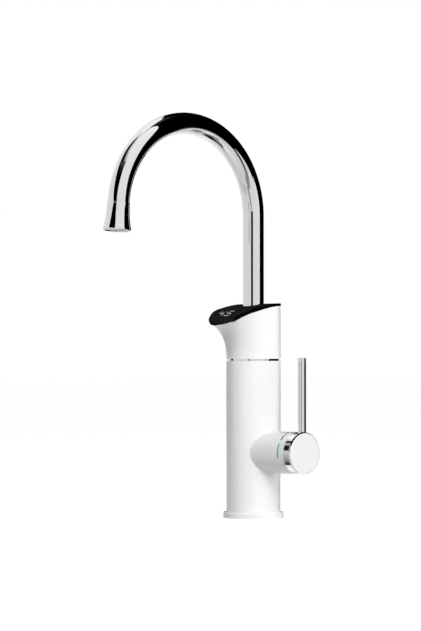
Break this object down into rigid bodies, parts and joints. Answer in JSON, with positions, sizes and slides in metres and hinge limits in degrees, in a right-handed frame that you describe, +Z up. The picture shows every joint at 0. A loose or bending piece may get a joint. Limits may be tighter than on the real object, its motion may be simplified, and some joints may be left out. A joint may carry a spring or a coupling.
{
  "type": "electric instant water heater tap",
  "caption": "Deck-mounted electric water heater tap with a round white body, a sloping black display cap, a swivelling chrome swan-neck spout and a rotary side handle with an upright rod.",
  "frame": {"origin": "centre of the base's underside, on the deck", "axes": "+Z up along the body's axis, -Y forwards (display and spout at rest), +X towards the handle"},
  "size_m": [0.1006, 0.2126, 0.3834],
  "materials": {
    "white_gloss": "glossy white moulded housing",
    "black_gloss": "piano black gloss",
    "display_lens": "smoked display lens, gloss",
    "chrome": "polished chrome",
    "brass": "machined",
    "stainless": "stainless, drawn",
    "rubber": "black rubber",
    "ceramic": "lapped alumina",
    "plastic_black": "black nylon",
    "plastic_white": "natural acetal",
    "circuit_board": "green solder mask",
    "display_digits": "digit block",
    "reed_glass": "glass capsule",
    "magnet": "sintered magnet"
  },
  "bodies": {
    "body": {"base_flange": "white_gloss", "lower_housing": "white_gloss", "upper_housing": "white_gloss", "display_cap": "black_gloss", "display_window": "display_lens", "trim_band": "chrome", "mounting_base": "brass", "inlet_pipe": "brass", "valve_body": "brass", "headpart_bush": "brass", "spout_socket": "brass", "socket_nut": "brass", "heater_bushes": "brass", "heater_nuts": "brass", "terminal_screws": "brass", "base_screws": "stainless", "inlet_strainer": "stainless", "earth_screw": "stainless", "return_spring": "stainless", "tank_shell": "stainless", "tank_cover": "stainless", "tank_screws": "stainless", "heating_element_main": "stainless", "heating_element_boost": "stainless", "temperature_probe": "stainless", "cutout_strap": "stainless", "retaining_screw": "stainless", "board_screws": "stainless", "base_gasket": "rubber", "disc_seal": "rubber", "tank_seal": "rubber", "fixed_ceramic_disc": "ceramic", "cable_gland": "plastic_black", "thermal_cutout": "plastic_black", "triac": "plastic_black", "reed_clip": "plastic_black", "terminal_block": "plastic_white", "handle_guide": "plastic_white", "flow_switch_body": "plastic_white", "power_board": "circuit_board", "display_board": "circuit_board", "digit_module": "display_digits", "reed_switch": "reed_glass"},
    "spout": {"spout_tube": "chrome", "spout_tail": "brass", "spout_orings": "rubber", "nozzle": "chrome", "aerator_washer": "rubber", "aerator_housing": "plastic_white", "aerator_insert": "plastic_white"},
    "handle": {"handle_ring": "chrome", "handle_screw": "stainless", "handle_cap": "chrome", "lever_rod": "chrome", "valve_stem": "brass", "stem_orings": "rubber", "stem_clip": "stainless", "moving_ceramic_disc": "ceramic"},
    "piston": {"flow_piston": "plastic_white", "piston_magnet": "magnet"}
  },
  "joints": [
    {"name": "spout_swivel", "type": "hinge", "parent": "body", "child": "spout", "pos_m": [0, 0, 0.183], "axis": [0, 0, 1], "continuous": true},
    {"name": "handle_turn", "type": "hinge", "parent": "body", "child": "handle", "pos_m": [0.03, 0, 0.063], "axis": [1, 0, 0], "range_deg": [0, 100]},
    {"name": "piston_rise", "type": "slide", "parent": "body", "child": "piston", "axis": [0, 0, 1], "range_m": [0, 0.005], "stiffness_N_per_m": 60, "springref_m": -0.002, "deforming": ["return_spring"]}
  ]
}
